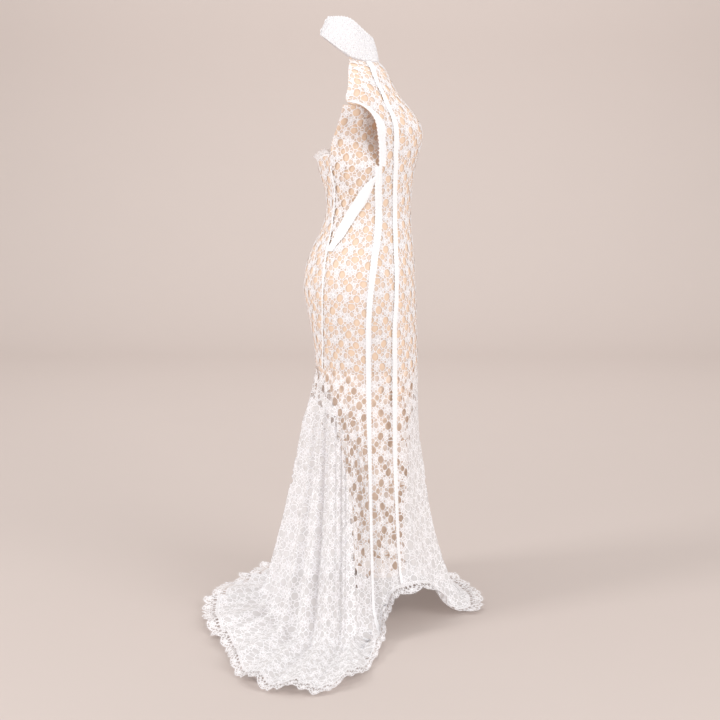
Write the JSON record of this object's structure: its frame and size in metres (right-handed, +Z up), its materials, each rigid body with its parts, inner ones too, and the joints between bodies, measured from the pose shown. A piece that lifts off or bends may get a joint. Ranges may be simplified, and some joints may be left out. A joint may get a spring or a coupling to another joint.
{
  "type": "mermaid dress",
  "caption": "Full-length lace mermaid gown with a high collar, open back, nude lining, flared skirt and train, in its worn hollow form.",
  "frame": {"origin": "the middle of the neck inside the collar, where the wearer holds the gown up", "axes": "+X is the front of the gown, +Z is up along the wearer's height, -Y is the wearer's right"},
  "size_m": [0.75, 1.1205, 1.557],
  "materials": {
    "lace": "matte",
    "lace_band": "satin",
    "nude_lining": "matte"
  },
  "bodies": {
    "root": {"armhole_band_left": "lace_band", "armhole_band_right": "lace_band", "collar": "lace_band", "collar_button_lower": "lace_band", "collar_button_upper": "lace_band", "diagonal_band_left": "lace_band", "diagonal_band_right": "lace_band", "hem_border_centre_front": "lace", "hem_border_godet_left": "lace", "hem_border_godet_right": "lace", "hem_border_side_back_left": "lace", "hem_border_side_back_right": "lace", "hem_border_side_front_left": "lace", "hem_border_side_front_right": "lace", "lace_centre_back": "lace", "lace_centre_front": "lace", "lace_godet_left": "lace", "lace_godet_right": "lace", "lace_side_back_left": "lace", "lace_side_back_right": "lace", "lace_side_front_left": "lace", "lace_side_front_right": "lace", "lace_upper_back_left": "lace", "lace_upper_back_right": "lace", "lining_centre_back": "nude_lining", "lining_centre_front": "nude_lining", "lining_side_back_left": "nude_lining", "lining_side_back_right": "nude_lining", "lining_side_front_left": "nude_lining", "lining_side_front_right": "nude_lining", "lining_upper_back_left": "nude_lining", "lining_upper_back_right": "nude_lining", "princess_band_left": "lace_band", "princess_band_right": "lace_band", "side_back_strip_left": "lace_band", "side_back_strip_right": "lace_band", "side_band_left": "lace_band", "side_band_right": "lace_band", "slip_left": "nude_lining", "slip_right": "nude_lining"}
  },
  "joints": []
}
